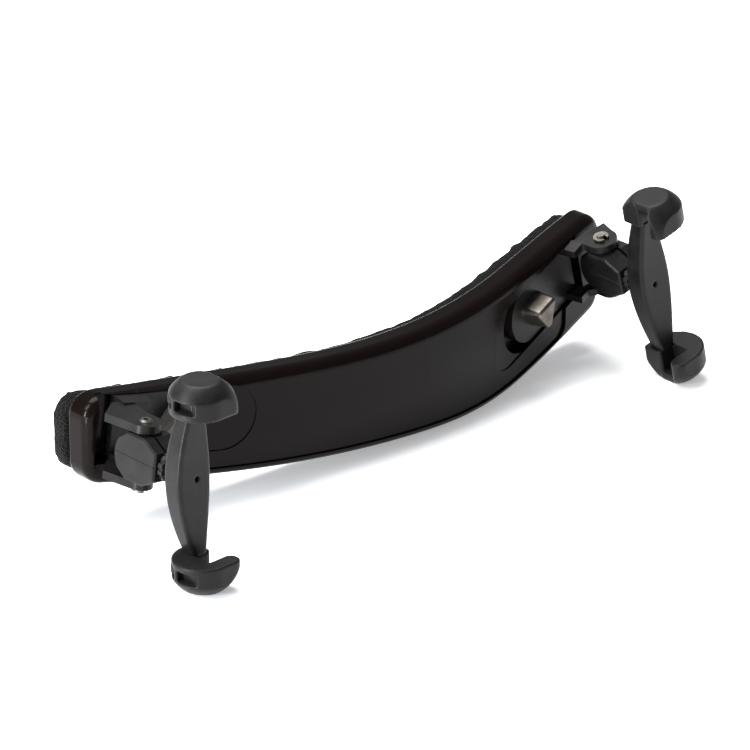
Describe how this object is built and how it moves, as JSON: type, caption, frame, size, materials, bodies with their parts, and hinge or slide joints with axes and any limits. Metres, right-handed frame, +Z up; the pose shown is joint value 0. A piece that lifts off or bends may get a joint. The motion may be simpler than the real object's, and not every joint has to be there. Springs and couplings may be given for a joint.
{
  "type": "violin shoulder rest",
  "caption": "Violin shoulder rest: a curved moulded bar with a foam pad and folding, width- and height-adjustable fork feet whose rubber claws grip the violin's edge.",
  "frame": {"origin": "centre of the overall box on the table it stands on, on its long edge", "axes": "+Z up across the bar's width, +X along the bar from the chest end to the shoulder end, -Y towards the violin and +Y towards the shoulder"},
  "size_m": [0.2173, 0.0704, 0.0657],
  "materials": {
    "bar_plastic": "satin-gloss black moulded plastic, polished rounded rim",
    "foam": "coarse open-cell black foam",
    "hinge_plastic": "charcoal glass-filled nylon with a fine mould texture",
    "washer_plastic": "thin black nylon",
    "claw_rubber": "soft dark grey rubber, slight sheen",
    "steel": "plated steel",
    "brass": "turned brass"
  },
  "bodies": {
    "bar_body": {"bar": "bar_plastic", "foam_pad": "foam"},
    "near_slide_body": {"near_carriage": "hinge_plastic", "near_hinge_pin": "steel", "near_pin_clip": "steel", "near_hinge_washers": "washer_plastic", "near_clamp_nut": "steel"},
    "near_knob_body": {"near_thumb_screw": "steel"},
    "near_pivot_body": {"near_pivot_block": "hinge_plastic", "near_thread_insert": "brass"},
    "near_nut_body": {"near_lock_nut": "washer_plastic"},
    "near_foot_body": {"near_post": "steel", "near_yoke": "hinge_plastic", "near_upper_claw": "claw_rubber", "near_lower_claw": "claw_rubber"},
    "far_slide_body": {"far_carriage": "hinge_plastic", "far_hinge_pin": "steel", "far_pin_clip": "steel", "far_hinge_washers": "washer_plastic", "far_clamp_nut": "steel"},
    "far_knob_body": {"far_thumb_screw": "steel"},
    "far_pivot_body": {"far_pivot_block": "hinge_plastic", "far_thread_insert": "brass"},
    "far_nut_body": {"far_lock_nut": "washer_plastic"},
    "far_foot_body": {"far_post": "steel", "far_yoke": "hinge_plastic", "far_upper_claw": "claw_rubber", "far_lower_claw": "claw_rubber"}
  },
  "joints": [
    {"name": "near_width", "type": "slide", "parent": "bar_body", "child": "near_slide_body", "axis": [0.9629, -0.2312, -0.1392], "range_m": [-0.0024, 0.005]},
    {"name": "near_clamp", "type": "hinge", "parent": "near_slide_body", "child": "near_knob_body", "pos_m": [-0.07567, 0.0126, 0.02979], "axis": [-0.2334, -0.9724, 0], "range_deg": [-360, 0]},
    {"name": "near_fold", "type": "hinge", "parent": "near_slide_body", "child": "near_pivot_body", "pos_m": [-0.0986, -0.0002, 0.0325], "axis": [0.1392, 0, 0.9903], "range_deg": [0, 76]},
    {"name": "near_height", "type": "slide", "parent": "near_pivot_body", "child": "near_nut_body", "axis": [0, -1, 0], "range_m": [0, 0.0048]},
    {"name": "near_turn", "type": "hinge", "parent": "near_nut_body", "child": "near_foot_body", "pos_m": [-0.0986, -0.0002, 0.0325], "axis": [0, -1, 0], "range_deg": [0, 2160]},
    {"name": "far_width", "type": "slide", "parent": "bar_body", "child": "far_slide_body", "axis": [-0.9403, -0.1999, -0.2756], "range_m": [-0.0015, 0.005]},
    {"name": "far_clamp", "type": "hinge", "parent": "far_slide_body", "child": "far_knob_body", "pos_m": [0.0646, 0.00386, 0.02502], "axis": [0.2079, -0.9781, 0], "range_deg": [-360, 0]},
    {"name": "far_fold", "type": "hinge", "parent": "far_slide_body", "child": "far_pivot_body", "pos_m": [0.0923, 0.0007, 0.0326], "axis": [0.2756, 0, -0.9613], "range_deg": [0, 66]},
    {"name": "far_height", "type": "slide", "parent": "far_pivot_body", "child": "far_nut_body", "axis": [0, -1, 0], "range_m": [0, 0.0048]},
    {"name": "far_turn", "type": "hinge", "parent": "far_nut_body", "child": "far_foot_body", "pos_m": [0.0923, 0.0007, 0.0326], "axis": [0, -1, 0], "range_deg": [0, 2160]}
  ],
  "couplings": [
    {"joint": "near_height", "follows": "near_turn", "m_per_rad": 0.00012732},
    {"joint": "far_height", "follows": "far_turn", "m_per_rad": 0.00012732}
  ]
}
